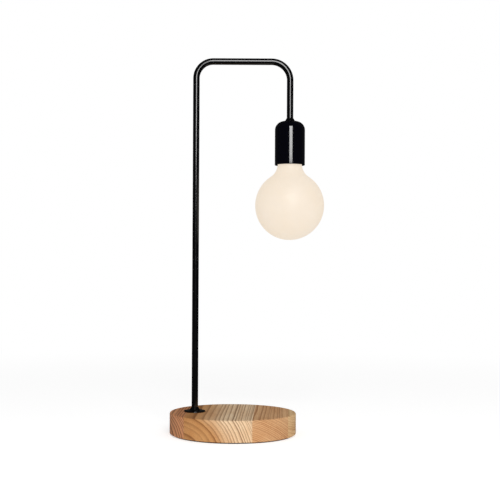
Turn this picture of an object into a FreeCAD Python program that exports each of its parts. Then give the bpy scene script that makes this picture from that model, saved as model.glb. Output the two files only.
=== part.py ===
"""Bare bulb table lamp.

A turned wooden base made from four glued planks carries a bent steel tube. The tube ends in a metal cup
that hides a ceramic screw lampholder, and an opal globe bulb hangs from it. Every separate piece of the
lamp is written to its own STEP file, in millimetres.

The frame: Z is up and the table is z = 0, with the origin under the middle of the base. The arm runs
along +X from the tube's foot to the cup, and the cord inlet is at the back, at +Y.
"""
import FreeCAD, Part
import math
import os

# ---- driving dimensions, in millimetres ----

# Clearances
SEAT = 0.05            # radial gap of pieces that seat in each other
TOUCH = 0.1            # gap of contacts and fillings that only just touch

# Base
BASE_D = 174.0
BASE_T = 29.0
BASE_TOP_ROUND = 2.0
BASE_BOTTOM_ROUND = 1.5
PLANK_TURN = 2.9       # degrees that the glue joints turn clockwise, seen from above
PLANK_JOINTS = (-0.713, 0.341, 0.876)  # where the joints cross, in shares of the base's radius
PAD_T = 1.5
PAD_INSET = 4.0
BALLAST_T = 6.0
BALLAST_RIM = 14.0     # wood left round the ballast's recess
BALLAST_GAP = 0.5      # between the ballast's edge and the recess, and between its underside and the pad
BALLAST_SCREW_D = 4.0
BALLAST_SCREW_L = 16.0
BALLAST_SCREW_INSET = 12.5
BALLAST_SCREW_ANGLES = (30.0, 150.0, 270.0)

# Cord inlet at the back of the base
CORD_BORE_D = 6.6
BUSH_D = 12.0
BUSH_FLANGE_D = 16.0
BUSH_FLANGE_T = 2.0
BUSH_L = 18.0
BUSH_SINK = 1.5        # how deep its flange is let into the wood
CHANNEL_W = 10.0

# Terminal block in the base
BLOCK_L = 16.0
BLOCK_W = 19.0
BLOCK_BODY_T = 7.5
BLOCK_TOWER_H = 3.5
BLOCK_ROOF = 6.0       # wood left above the block
BLOCK_OFFSET = 34.5    # from the tube's axis to the block's middle
POLE_PITCH = 9.0
POLE_TUBE_D = 5.0
POLE_BORE_D = 3.0
POLE_SCREW_D = 2.6
POLE_SCREW_PITCH = 8.0

# Tube
TUBE_D = 9.0
TUBE_WALL = 1.0
OVERALL_H = 518.8      # table to the top of the arm
STEM_INSET = 34.5      # from the base's edge to the tube's axis
ARM_REACH = 129.5      # from the tube's foot axis to the bulb's axis
STEM_BEND_R = 23.2     # centre line
DROP_BEND_R = 25.7     # centre line

# Threaded nipples at both ends of the tube
NIPPLE_D = 8.0
NIPPLE_BORE_D = 5.0
NIPPLE_SPIGOT_L = 14.0
NUT_FLATS = 13.0
NUT_T = 3.5

# Foot
FLANGE_D = 29.5
FLANGE_T = 2.0
FLANGE_WEB = 1.2
FOOT_BOSS_D = 15.2
FOOT_BOSS_H = 4.8
BOSS_LIP = 0.4         # wall of a cone where it meets the tube
FOOT_ROOF = 10.5       # wood clamped between the flange and the washer
FOOT_POCKET_D = 30.0
FOOT_WASHER_D = 24.0
FOOT_WASHER_T = 1.5
LOCK_WASHER_D = 14.0
LOCK_WASHER_T = 0.8
LOCK_TEETH = 12
BALLAST_HOLE_D = 32.0

# Wires
WIRE_D = 2.0
WIRE_CORE_D = 1.1
WIRE_PITCH = 2.4       # between the two wires in the tube
WIRE_BEND_R = 4.5
WIRE_TAIL = 4.5        # bare end

# Cup and its collar nut
HEAD_DROP = 82.3       # from the arm's centre line to the cup's top
CUP_H = 60.5
CUP_SHOULDER_R = 12.0
CUP_WALL = 1.0
COLLAR_D = 15.0
COLLAR_H = 4.2
COLLAR_THREAD_H = 2.4
HEAD_WASHER_INSET = 0.75  # from the end of the cup's flat top to the washer's edge
HEAD_WASHER_T = 1.0

# Lampholder
MOUTH_INSET = 6.0      # from the cup's rim up to the ceramic
SOCKET_DEPTH = 25.8    # from the ceramic's mouth to the bulb's centre contact
FLOOR_GAP = 3.2        # from the bulb's centre contact to the socket's floor
FLOOR_T = 6.5
THREAD_GAP = 0.3       # between the bulb's cap and the screw shell
SHELL_WALL = 0.4
CERAMIC_WALL = 4.95
CERAMIC_GAP = 0.95     # between the ceramic and the cup
MOUTH_LAND = 2.0       # ceramic below the screw shell's end
SHELL_LIP = 1.2
BRACKET_T = 1.5
BRACKET_W = 10.0
BRACKET_SIDE_GAP = 6.75  # between the bracket's sides and the cup
BRACKET_SCREW_D = 3.0
BRACKET_SCREW_INSET = 3.5
TERMINAL_SIZE = 6.0
TERMINAL_H = 8.5
TERMINAL_SINK = 1.0
TERMINAL_INSET = 4.4   # from the screw shell's bore to a terminal's middle
TERMINAL_WIRE_Z = 5.5  # wire hole above the terminal's foot
POST_D = 3.0
RIVET_D = 4.8
RIVET_T = 1.0
TONGUE_W = 5.0
TONGUE_T = 0.5
TONGUE_GAP = 0.4       # from its bending line to the rivet that it springs from

# Bulb
GLOBE_D = 95.0
BULB_L = 135.0         # centre contact to the globe's far side
GLASS_T = 0.9
NECK_STEP = 3.5        # how far the neck stands out beyond the cap
NECK_BLEND_R = 22.0
CAP_D = 26.2
CAP_H = 27.0           # centre contact to the cap's open end
CAP_SHEET = 0.35
CAP_SKIRT_D = 26.7
CAP_SKIRT_H = 2.6
CAP_TOP_DROP = 3.9     # centre contact to the metal cap's end
CAP_TOP_R = 2.4
SLEEVE_L = 10.0        # glass inside the cap
CONTACT_D = 9.8
CONTACT_T = 1.2
DRIVER_DROP = 9.1      # centre contact to the circuit board
FILAMENT_L = 40.0
FILAMENT_D = 1.8
FILAMENTS = 4

# ---- places worked out from the driving dimensions ----

base_r = BASE_D / 2
base_low = PAD_T
base_top = PAD_T + BASE_T
ballast_top = base_low + BALLAST_GAP + BALLAST_T
recess_r = base_r - BALLAST_RIM
ballast_r = recess_r - BALLAST_GAP
tube_r = TUBE_D / 2
tube_bore_r = tube_r - TUBE_WALL
nipple_r = NIPPLE_D / 2
stem_x = STEM_INSET - base_r
socket_x = stem_x + ARM_REACH
arm_z = OVERALL_H - tube_r
foot_pocket_z = base_top - FOOT_ROOF
foot_nut_z = foot_pocket_z - FOOT_WASHER_T - LOCK_WASHER_T - NUT_T
foot_end_z = foot_nut_z - 1.0
tube_foot_z = base_top + FLANGE_WEB
block_x = stem_x + BLOCK_OFFSET
block_top = base_top - BLOCK_ROOF
pole_z = block_top - BLOCK_BODY_T * 2 / 3
inlet_z = ballast_top + BUSH_D / 2
cup_top = arm_z - HEAD_DROP
cup_rim = cup_top - CUP_H
shell_bore_r = CAP_D / 2 + THREAD_GAP
ceramic_bore_r = shell_bore_r + SHELL_WALL + SEAT
ceramic_r = ceramic_bore_r + CERAMIC_WALL
cup_bore_r = ceramic_r + CERAMIC_GAP
cup_r = cup_bore_r + CUP_WALL
tube_head_z = cup_top + COLLAR_THREAD_H
head_washer_z = cup_top - CUP_WALL - HEAD_WASHER_T
head_washer_r = cup_r - CUP_SHOULDER_R - HEAD_WASHER_INSET
bracket_half = cup_bore_r - BRACKET_SIDE_GAP
bracket_screw_reach = bracket_half - BRACKET_SCREW_INSET
bracket_top = head_washer_z
head_nut_z = bracket_top - BRACKET_T - NUT_T
head_end_z = head_nut_z - 1.0
mouth_z = cup_rim + MOUTH_INSET
contact_z = mouth_z + SOCKET_DEPTH
floor_z = contact_z + FLOOR_GAP
ceramic_top = floor_z + FLOOR_T
terminal_reach = shell_bore_r - TERMINAL_INSET
terminal_foot = ceramic_top - TERMINAL_SINK
terminal_wire_z = terminal_foot + TERMINAL_WIRE_Z
tongue_root = terminal_reach - RIVET_D / 2 - TONGUE_GAP
globe_r = GLOBE_D / 2
neck_r = CAP_D / 2 + NECK_STEP
eyelet_r = CAP_D / 2 - CAP_TOP_R - 0.3
globe_z = contact_z - BULB_L + globe_r
cap_end_z = contact_z - CAP_H
shoulder_z = cap_end_z - TOUCH * 2
sleeve_r = CAP_D / 2 - CAP_SHEET - TOUCH
driver_z = contact_z - DRIVER_DROP

Vec = FreeCAD.Vector
UP = Vec(0, 0, 1)
X_AXIS = Vec(1, 0, 0)
Y_AXIS = Vec(0, 1, 0)


# ---- shared shapes ----

def cylinder(radius, low, high, x=0.0, y=0.0):
    """An upright cylinder between two heights."""
    return Part.makeCylinder(radius, high - low, Vec(x, y, low))


def rod(radius, start, end):
    """A cylinder between two points."""
    along = end - start
    return Part.makeCylinder(radius, along.Length, start, along)


def box(x0, x1, y0, y1, z0, z1):
    """A box between its low and high coordinates."""
    return Part.makeBox(x1 - x0, y1 - y0, z1 - z0, Vec(x0, y0, z0))


def joined(solids):
    """One solid from several that touch or overlap."""
    return solids[0].multiFuse(solids[1:]).removeSplitter()


def rounded_edges(corners, closed):
    """Lines joined by tangent arcs, through corners given as (point, radius)."""
    stops = []
    last = len(corners) - 1
    for i, (point, radius) in enumerate(corners):
        if radius == 0 or (not closed and i in (0, last)):
            stops.append((point, None, point))
            continue
        back = (corners[i - 1][0] - point).normalize()
        ahead = (corners[(i + 1) % len(corners)][0] - point).normalize()
        half = back.getAngle(ahead) / 2
        inward = (back + ahead).normalize()
        middle = point + inward * (radius / math.sin(half) - radius)
        reach = radius / math.tan(half)
        stops.append((point + back * reach, middle, point + ahead * reach))
    edges = []
    for i, (arrive, middle, leave) in enumerate(stops):
        if middle:
            edges.append(Part.Arc(arrive, middle, leave).toShape())
        if closed or i < last:
            onward = stops[(i + 1) % len(stops)][0]
            if leave.distanceToPoint(onward) > 1e-6:
                edges.append(Part.LineSegment(leave, onward).toShape())
    return edges


def revolved(edges, x=0.0, y=0.0):
    """The solid that closed edges in the XZ half plane sweep round the upright axis through (x, y)."""
    solid = Part.Face(Part.Wire(edges)).revolve(Vec(0, 0, 0), UP, 360)
    solid.translate(Vec(x, y, 0))
    return solid


def turned(outline, x=0.0, y=0.0):
    """A turned solid from an outline of (radius, height) corners, or (radius, height, rounding)."""
    corners = [(Vec(c[0], 0, c[1]), c[2] if len(c) > 2 else 0) for c in outline]
    return revolved(rounded_edges(corners, True), x, y)


def swept(corners, profile):
    """The solid that a closed profile sweeps along a path of (point, radius) corners."""
    path = Part.Wire(rounded_edges(corners, False))
    return path.makePipeShell([profile], True, False)


def round_bar(corners, radius):
    """A round bar along a path of (point, radius) corners."""
    start = corners[0][0]
    circle = Part.makeCircle(radius, start, corners[1][0] - start)
    return swept(corners, Part.Wire(circle))


def strip(corners, across, width, thickness):
    """A bent metal strip along a flat path. The unit vector across points over its width."""
    start = corners[0][0]
    side = across * (width / 2)
    over = (corners[1][0] - start).normalize().cross(across) * (thickness / 2)
    points = [start + side + over, start - side + over, start - side - over, start + side - over]
    return swept(corners, Part.makePolygon(points + points[:1]))


def hex_nut(flats, low, high, bore_r, x, y):
    """A hexagon nut with its corners chamfered on both faces."""
    corner_r = flats / 2 / math.cos(math.radians(30))
    chamfer = (corner_r - flats / 2) * 0.6
    points = [Vec(x + corner_r * math.cos(math.radians(60 * i)),
                  y + corner_r * math.sin(math.radians(60 * i)), low) for i in range(7)]
    prism = Part.Face(Part.makePolygon(points)).extrude(UP * (high - low))
    rounded = turned([(bore_r, low), (flats / 2, low), (corner_r, low + chamfer),
                      (corner_r, high - chamfer), (flats / 2, high), (bore_r, high)], x, y)
    return prism.common(rounded)


def tooth_washer(outer_r, bore_r, low, high, x, y):
    """A lock washer with teeth round its edge."""
    washer = cylinder(outer_r, low, high, x, y).cut(cylinder(bore_r, low, high, x, y))
    root_r = (outer_r + bore_r) / 2
    width = math.pi * outer_r / LOCK_TEETH / 2
    slots = []
    for i in range(LOCK_TEETH):
        slot = box(root_r, outer_r + 1, -width / 2, width / 2, low, high)
        slot.rotate(Vec(0, 0, 0), UP, 360 * i / LOCK_TEETH)
        slot.translate(Vec(x, y, 0))
        slots.append(slot)
    return washer.cut(slots)


def slotted_screw(head_r, head_h, shank_r, head_face, tip, x, y):
    """A slotted screw whose head starts at head_face and whose shank ends at tip, above or below it."""
    way = 1 if tip > head_face else -1
    under = head_face + way * head_h
    screw = turned([(0, head_face), (head_r, head_face, head_h * 0.4), (head_r, under),
                    (shank_r, under), (shank_r, tip), (0, tip)], x, y)
    slot_floor = head_face + way * head_h * 0.5
    low, high = sorted((head_face - way, slot_floor))
    return screw.cut(box(x - head_r, x + head_r, y - 0.3, y + 0.3, low, high))


# ---- base ----

def ballast_screw_places():
    reach = ballast_r - BALLAST_SCREW_INSET
    return [(reach * math.cos(math.radians(a)), reach * math.sin(math.radians(a)))
            for a in BALLAST_SCREW_ANGLES]


def wood_disc():
    """The whole turned base with its hollows, before it is split into planks."""
    disc = turned([(0, base_low), (base_r, base_low, BASE_BOTTOM_ROUND),
                   (base_r, base_top, BASE_TOP_ROUND), (0, base_top)])
    half = CHANNEL_W / 2
    bush_start = base_r - BUSH_SINK - BUSH_L
    pocket_end = half + 3.0
    block_side = BLOCK_W / 2 + 1.5
    wire_side = POLE_PITCH / 2 + WIRE_D
    bush_hole = rod(BUSH_D / 2, Vec(0, bush_start, inlet_z), Vec(0, base_r, inlet_z))
    bush_seat = rod(BUSH_FLANGE_D / 2 + SEAT * 4, Vec(0, base_r - BUSH_SINK, inlet_z),
                    Vec(0, base_r + 1, inlet_z))
    hollows = [
        cylinder(recess_r, base_low, ballast_top),
        cylinder(FOOT_POCKET_D / 2, ballast_top, foot_pocket_z, stem_x),
        cylinder(nipple_r + SEAT * 4, foot_pocket_z, base_top, stem_x),
        box(block_x - BLOCK_L / 2 - 3, pocket_end, -block_side, block_side, ballast_top, block_top),
        box(stem_x + FOOT_POCKET_D / 2 - 1, block_x, -wire_side, wire_side,
            ballast_top, pole_z + WIRE_D),
        box(-half, half, 0, bush_start + SEAT, ballast_top, inlet_z + half),
        bush_hole,
        bush_seat,
        cylinder(1.5, block_top, block_top + 4, block_x),
    ]
    for x, y in ballast_screw_places():
        hollows.append(cylinder(BALLAST_SCREW_D / 2, ballast_top,
                                base_low + BALLAST_GAP + BALLAST_SCREW_L, x, y))
    return disc.cut(hollows)


def base_planks():
    """The four glued planks, cut from one turned disc."""
    disc = wood_disc()
    joints = [-1.2, *PLANK_JOINTS, 1.2]
    planks = []
    for low, high in zip(joints, joints[1:]):
        slab = box(low * base_r, high * base_r, -base_r * 1.2, base_r * 1.2, 0, base_top + 1)
        slab.rotate(Vec(0, 0, 0), UP, -PLANK_TURN)
        planks.append(disc.common(slab))
    names = ("base_plank_left", "base_plank_main", "base_plank_middle", "base_plank_right")
    return dict(zip(names, planks))


def base_pad():
    return cylinder(base_r - PAD_INSET, 0, PAD_T)


def ballast_plate():
    low = base_low + BALLAST_GAP
    plate = turned([(0, low), (ballast_r, low, 0.6), (ballast_r, ballast_top, 0.6), (0, ballast_top)])
    cuts = [cylinder(BALLAST_HOLE_D / 2, low - 1, ballast_top + 1, stem_x)]
    screw_r = BALLAST_SCREW_D / 2
    for x, y in ballast_screw_places():
        cuts.append(turned([(0, low), (screw_r * 2 + SEAT, low), (screw_r + SEAT, low + screw_r),
                            (screw_r + SEAT, ballast_top), (0, ballast_top)], x, y))
    return plate.cut(cuts)


def ballast_screws():
    low = base_low + BALLAST_GAP
    screw_r = BALLAST_SCREW_D / 2
    tip = low + BALLAST_SCREW_L
    screws = []
    for x, y in ballast_screw_places():
        screw = turned([(0, low), (screw_r * 2, low), (screw_r, low + screw_r),
                        (screw_r, tip - screw_r * 2), (0, tip)], x, y)
        slot = box(x - screw_r * 2, x + screw_r * 2, y - 0.4, y + 0.4, low - 1, low + 0.9)
        screws.append(screw.cut(slot))
    return Part.makeCompound(screws)


def cord_inlet_bush():
    """A flanged bush lying along Y, with a rounded mouth for a cord."""
    bore = CORD_BORE_D / 2
    flange_top = BUSH_L + BUSH_FLANGE_T
    bush = turned([(bore, 0, 0.8), (BUSH_D / 2 - SEAT, 0, 0.8), (BUSH_D / 2 - SEAT, BUSH_L),
                   (BUSH_FLANGE_D / 2, BUSH_L, 0.3), (BUSH_FLANGE_D / 2, flange_top, 0.8),
                   (bore, flange_top, 1.2)])
    bush.rotate(Vec(0, 0, 0), X_AXIS, -90)
    bush.translate(Vec(0, base_r - BUSH_SINK - BUSH_L, inlet_z))
    return bush


# ---- terminal block in the base ----

def pole_screw_places():
    return [(block_x + i * POLE_SCREW_PITCH / 2, j * POLE_PITCH / 2) for i in (-1, 1) for j in (-1, 1)]


def terminal_block_body():
    low = block_top - BLOCK_BODY_T
    body = box(block_x - BLOCK_L / 2, block_x + BLOCK_L / 2, -BLOCK_W / 2, BLOCK_W / 2, low, block_top)
    body = body.makeFillet(1.0, [e for e in body.Edges if e.BoundBox.ZLength > 1])
    towers = [cylinder(POLE_TUBE_D / 2 + 0.8, low - BLOCK_TOWER_H, low + 1, x, y)
              for x, y in pole_screw_places()]
    cuts = [cylinder(2.0, low - BLOCK_TOWER_H - 1, pole_z, x, y) for x, y in pole_screw_places()]
    for side in (-1, 1):
        y = side * POLE_PITCH / 2
        cuts.append(rod(POLE_TUBE_D / 2 + SEAT, Vec(block_x - BLOCK_L, y, pole_z),
                        Vec(block_x + BLOCK_L, y, pole_z)))
    cuts.append(cylinder(1.6, low - 1, block_top + 1, block_x))
    return joined([body, *towers]).cut(cuts)


def terminal_block_inserts():
    inserts = []
    half = BLOCK_L / 2 - 0.5
    for side in (-1, 1):
        y = side * POLE_PITCH / 2
        tube = rod(POLE_TUBE_D / 2, Vec(block_x - half, y, pole_z), Vec(block_x + half, y, pole_z))
        cuts = [rod(POLE_BORE_D / 2, Vec(block_x - half, y, pole_z), Vec(block_x + half, y, pole_z))]
        cuts += [cylinder(POLE_SCREW_D / 2 + SEAT, pole_z - POLE_TUBE_D, pole_z, x, place_y)
                 for x, place_y in pole_screw_places() if place_y * side > 0]
        inserts.append(tube.cut(cuts))
    return Part.makeCompound(inserts)


def terminal_block_screws():
    head_face = block_top - BLOCK_BODY_T - BLOCK_TOWER_H + 0.8
    tip = pole_z - WIRE_CORE_D / 2 - SEAT
    return Part.makeCompound([slotted_screw(1.8, 1.6, POLE_SCREW_D / 2, head_face, tip, x, y)
                              for x, y in pole_screw_places()])


def block_fixing_screw():
    low = block_top - BLOCK_BODY_T
    return slotted_screw(2.7, 1.6, 1.45, low - 1.6, block_top + 3.8, block_x, 0)


# ---- tube and foot ----

def tube_path(foot_z, head_z, y=0.0):
    """The tube's centre line, from foot to head, moved sideways by y."""
    return [(Vec(stem_x, y, foot_z), 0),
            (Vec(stem_x, y, arm_z), STEM_BEND_R),
            (Vec(socket_x, y, arm_z), DROP_BEND_R),
            (Vec(socket_x, y, head_z), 0)]


def stem_tube():
    path = tube_path(tube_foot_z, tube_head_z)
    return round_bar(path, tube_r).cut(round_bar(path, tube_bore_r))


def foot_flange():
    """A disc with a cone, bored as a seat for the tube, over a web that the nipple goes through."""
    top = base_top + FLANGE_T
    outline = [(nipple_r + SEAT * 2, base_top), (FLANGE_D / 2, base_top, 0.3),
               (FLANGE_D / 2, top, 0.9), (FOOT_BOSS_D / 2, top, 0.5),
               (tube_r + BOSS_LIP, top + FOOT_BOSS_H), (tube_r + SEAT, top + FOOT_BOSS_H),
               (tube_r + SEAT, tube_foot_z), (nipple_r + SEAT * 2, tube_foot_z)]
    return turned(outline, stem_x)


def nipple(x, end_z, shoulder_z, spigot_z):
    """A hollow threaded stud from end_z to shoulder_z, with a smooth spigot in the tube's bore."""
    bore = NIPPLE_BORE_D / 2
    spigot_r = tube_bore_r - SEAT
    way = 1 if shoulder_z > end_z else -1
    outline = [(bore, end_z), (nipple_r - 0.4, end_z), (nipple_r, end_z + way * 0.4),
               (nipple_r, shoulder_z), (spigot_r, shoulder_z), (spigot_r, spigot_z), (bore, spigot_z)]
    return turned(outline, x)


def foot_nipple():
    return nipple(stem_x, foot_end_z, tube_foot_z, tube_foot_z + NIPPLE_SPIGOT_L)


def foot_washer():
    low = foot_pocket_z - FOOT_WASHER_T
    return turned([(nipple_r + SEAT * 4, low), (FOOT_WASHER_D / 2, low, 0.3),
                   (FOOT_WASHER_D / 2, foot_pocket_z, 0.3), (nipple_r + SEAT * 4, foot_pocket_z)],
                  stem_x)


def foot_lock_washer():
    low = foot_nut_z + NUT_T
    return tooth_washer(LOCK_WASHER_D / 2, nipple_r + SEAT * 2, low, low + LOCK_WASHER_T, stem_x, 0)


def foot_nut():
    return hex_nut(NUT_FLATS, foot_nut_z, foot_nut_z + NUT_T, nipple_r + SEAT, stem_x, 0)


# ---- wires ----

def wire(side):
    """An insulated wire from the terminal block, up through the tube, to the lampholder's terminal."""
    y = side * WIRE_PITCH / 2
    pole_y = side * POLE_PITCH / 2
    low_z = foot_end_z - 1.0 - WIRE_BEND_R
    insert_end = block_x - BLOCK_L / 2 + 0.5
    holder_face = side * (terminal_reach - TERMINAL_SIZE / 2)
    start = Vec(insert_end, pole_y, pole_z)
    end = Vec(socket_x, holder_face, terminal_wire_z)
    climb = stem_x + WIRE_BEND_R * 1.6
    path = [(start, 0),
            (Vec(insert_end - 5, pole_y, pole_z), WIRE_BEND_R),
            (Vec(climb, y, low_z), WIRE_BEND_R),
            (Vec(stem_x, y, low_z), WIRE_BEND_R)]
    path += tube_path(low_z, terminal_wire_z, y)[1:3]
    path += [(Vec(socket_x, y, terminal_wire_z), WIRE_BEND_R), (end, 0)]
    core_r = WIRE_CORE_D / 2
    tails = [rod(core_r, start - X_AXIS * 0.5, start + X_AXIS * WIRE_TAIL),
             rod(core_r, end - Y_AXIS * side * 0.5, end + Y_AXIS * side * WIRE_TAIL)]
    return joined([round_bar(path, WIRE_D / 2), *tails])


# ---- cup and what clamps it ----

def head_nipple():
    return nipple(socket_x, head_end_z, tube_head_z, tube_head_z + NIPPLE_SPIGOT_L)


def collar_nut():
    """A cone nut over the tube's end: its thread is below the seat that hides the tube's edge."""
    high = cup_top + COLLAR_H
    outline = [(nipple_r + SEAT, cup_top), (COLLAR_D / 2, cup_top, 0.3),
               (tube_r + BOSS_LIP, high), (tube_r + SEAT, high), (tube_r + SEAT, tube_head_z),
               (nipple_r + SEAT, tube_head_z)]
    return turned(outline, socket_x)


def lamp_cup():
    """A spun cup with a round shoulder, open below."""
    hole = nipple_r + SEAT * 3
    outline = [(hole, cup_top), (cup_r, cup_top, CUP_SHOULDER_R), (cup_r, cup_rim, 0.45),
               (cup_bore_r, cup_rim, 0.45), (cup_bore_r, cup_top - CUP_WALL, CUP_SHOULDER_R - CUP_WALL),
               (hole, cup_top - CUP_WALL)]
    return turned(outline, socket_x)


def head_lock_washer():
    return tooth_washer(head_washer_r, nipple_r + SEAT * 2, head_washer_z,
                        head_washer_z + HEAD_WASHER_T, socket_x, 0)


def head_nut():
    return hex_nut(NUT_FLATS, head_nut_z, head_nut_z + NUT_T, nipple_r + SEAT, socket_x, 0)


# ---- lampholder ----

def bracket_screw_places():
    return [socket_x + side * bracket_screw_reach for side in (-1, 1)]


def holder_bracket():
    """A strip bent round on itself: the nipple goes through its top and screws hold its two feet."""
    half = BRACKET_T / 2
    side = bracket_half - half
    foot_z = ceramic_top + half
    high = bracket_top - half
    bend = BRACKET_T * 1.5
    toe = bracket_screw_reach - 3.5
    corners = [(-toe, foot_z, 0), (-side, foot_z, bend), (-side, high, bend),
               (side, high, bend), (side, foot_z, bend), (toe, foot_z, 0)]
    path = [(Vec(socket_x + x, 0, z), radius) for x, z, radius in corners]
    bracket = strip(path, Y_AXIS, BRACKET_W, BRACKET_T)
    cuts = [cylinder(nipple_r + SEAT * 2, head_nut_z, bracket_top + 1, socket_x)]
    cuts += [cylinder(BRACKET_SCREW_D / 2 + SEAT, ceramic_top - 1, ceramic_top + BRACKET_T + 1, x)
             for x in bracket_screw_places()]
    return bracket.cut(cuts)


def bracket_screws():
    head_face = floor_z + 0.2
    tip = ceramic_top + BRACKET_T + 1.5
    return Part.makeCompound([slotted_screw(2.75, 2.0, BRACKET_SCREW_D / 2, head_face, tip, x, 0)
                              for x in bracket_screw_places()])


def holder_body():
    """The ceramic: a thick floor over a bored skirt, with pockets for terminals and screws."""
    mouth = ceramic_bore_r + 0.75
    outline = [(0, ceramic_top), (ceramic_r, ceramic_top, 3.0), (ceramic_r, mouth_z, 1.2),
               (mouth, mouth_z, 0.6), (mouth, mouth_z + MOUTH_LAND),
               (ceramic_bore_r, mouth_z + MOUTH_LAND), (ceramic_bore_r, floor_z), (0, floor_z)]
    body = turned(outline, socket_x)
    nest = TERMINAL_SIZE / 2 + SEAT
    cuts = []
    for side in (-1, 1):
        y = side * terminal_reach
        cuts.append(box(socket_x - nest, socket_x + nest, y - nest, y + nest,
                        terminal_foot, ceramic_top + 1))
        cuts.append(cylinder(POST_D / 2 + SEAT, floor_z - 1, ceramic_top, socket_x, y))
    for x in bracket_screw_places():
        cuts.append(cylinder(BRACKET_SCREW_D / 2 + 0.2, floor_z - 1, ceramic_top + 1, x))
        cuts.append(cylinder(3.1, floor_z - 1, floor_z + 2.2, x))
    return body.cut(cuts)


def screw_shell():
    """The brass shell that the bulb screws into, with a lug for the rivet of its terminal."""
    outer = shell_bore_r + SHELL_WALL
    sheet = floor_z - SHELL_WALL
    outline = [(shell_bore_r, mouth_z + MOUTH_LAND), (outer, mouth_z + MOUTH_LAND), (outer, floor_z),
               (outer - SHELL_LIP, floor_z), (outer - SHELL_LIP, sheet), (shell_bore_r, sheet)]
    lug = box(socket_x - 3, socket_x + 3, -outer + 1, -terminal_reach + 3, sheet, floor_z)
    hole = cylinder(POST_D / 2 + SEAT, sheet - 1, floor_z + 1, socket_x, -terminal_reach)
    return joined([turned(outline, socket_x), lug]).cut(hole)


def terminal(side, rivet_face):
    """A brass terminal on the ceramic, with its post down through the floor to a riveted head."""
    y = side * terminal_reach
    half = TERMINAL_SIZE / 2
    high = terminal_foot + TERMINAL_H
    block = box(socket_x - half, socket_x + half, y - half, y + half, terminal_foot, high)
    block = block.makeChamfer(0.5, [e for e in block.Edges if e.BoundBox.ZLength > 1])
    post = cylinder(POST_D / 2, rivet_face - RIVET_T, terminal_foot + 1, socket_x, y)
    rivet = turned([(0, rivet_face - RIVET_T), (RIVET_D / 2, rivet_face - RIVET_T, 0.4),
                    (RIVET_D / 2, rivet_face), (0, rivet_face)], socket_x, y)
    wire_hole = rod(1.2, Vec(socket_x, y - half, terminal_wire_z), Vec(socket_x, y + half, terminal_wire_z))
    screw_hole = cylinder(1.5 + SEAT, terminal_wire_z, high + 1, socket_x, y)
    return joined([block, post, rivet]).cut([wire_hole, screw_hole])


def centre_terminal():
    return terminal(1, floor_z)


def shell_terminal():
    return terminal(-1, floor_z - SHELL_WALL)


def holder_terminal_screws():
    head_face = terminal_foot + TERMINAL_H + 1.8
    tip = terminal_wire_z + WIRE_CORE_D / 2 + SEAT
    return Part.makeCompound([slotted_screw(2.6, 1.8, 1.5, head_face, tip, socket_x, side * terminal_reach)
                              for side in (-1, 1)])


def contact_tongue():
    """The springy brass tongue that presses on the bulb's centre contact."""
    half = TONGUE_T / 2
    touch_z = contact_z + TOUCH + half
    corners = [(tongue_root, floor_z - 0.6, 0), (2.4, touch_z, 2.0),
               (-2.0, touch_z, 1.0), (-3.4, touch_z + 1.0, 0)]
    path = [(Vec(socket_x, y, z), radius) for y, z, radius in corners]
    return strip(path, X_AXIS, TONGUE_W, TONGUE_T)


# ---- bulb ----

def blend_circle():
    """Centre radius and height of the round hollow between the globe and its neck."""
    reach = neck_r + NECK_BLEND_R
    return reach, globe_z + math.sqrt((globe_r + NECK_BLEND_R) ** 2 - reach ** 2)


def glass_outline(inset):
    """The globe, its blend and the neck's side as edges, moved inwards by the glass's thickness."""
    radius = globe_r - inset
    blend = NECK_BLEND_R + inset
    reach, blend_z = blend_circle()
    lean = math.atan2(reach, blend_z - globe_z)
    join = Vec(radius * math.sin(lean), 0, globe_z + radius * math.cos(lean))
    side_angle = math.pi / 2 + (math.pi / 2 - lean) / 2
    globe_mid = Vec(radius * math.sin(side_angle), 0, globe_z + radius * math.cos(side_angle))
    globe = Part.Arc(Vec(0, 0, globe_z - radius), globe_mid, join).toShape()
    turn = (math.pi / 2 - lean) / 2
    blend_mid = Vec(reach - blend * math.cos(turn), 0, blend_z - blend * math.sin(turn))
    neck = Vec(reach - blend, 0, blend_z)
    return [globe, Part.Arc(join, blend_mid, neck).toShape()], neck


def bulb_glass():
    """The hollow globe with its neck and the sleeve that the cap is cemented to."""
    outside, outer_neck = glass_outline(0)
    inside, inner_neck = glass_outline(GLASS_T)
    sleeve_top = cap_end_z + SLEEVE_L
    bore = sleeve_r - GLASS_T
    shoulder = [(outer_neck, 0), (Vec(outer_neck.x, 0, shoulder_z), 2.0),
                (Vec(sleeve_r, 0, shoulder_z), 0.8), (Vec(sleeve_r, 0, sleeve_top), 0),
                (Vec(bore, 0, sleeve_top), 0), (Vec(bore, 0, shoulder_z - GLASS_T), 0.8 + GLASS_T),
                (Vec(inner_neck.x, 0, shoulder_z - GLASS_T), 2.0 - GLASS_T), (inner_neck, 0)]
    pole = Part.LineSegment(Vec(0, 0, globe_z - globe_r + GLASS_T), Vec(0, 0, globe_z - globe_r)).toShape()
    edges = outside + rounded_edges(shoulder, False) + inside[::-1] + [pole]
    return revolved(Part.__sortEdges__(edges), socket_x)


def bulb_cap():
    """The screw cap's metal sheet: a rolled end, a plain band where its thread is, and a flared skirt."""
    outer = CAP_D / 2
    skirt = CAP_SKIRT_D / 2
    inner = outer - CAP_SHEET
    top = contact_z - CAP_TOP_DROP
    flare = cap_end_z + CAP_SKIRT_H
    outline = [(eyelet_r + SEAT, top), (outer, top, CAP_TOP_R), (outer, flare + 0.4),
               (skirt, flare), (skirt, cap_end_z), (skirt - CAP_SHEET, cap_end_z),
               (skirt - CAP_SHEET, flare), (inner, flare + 0.4),
               (inner, top - CAP_SHEET, CAP_TOP_R - CAP_SHEET), (eyelet_r + SEAT, top - CAP_SHEET)]
    return turned(outline, socket_x)


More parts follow.
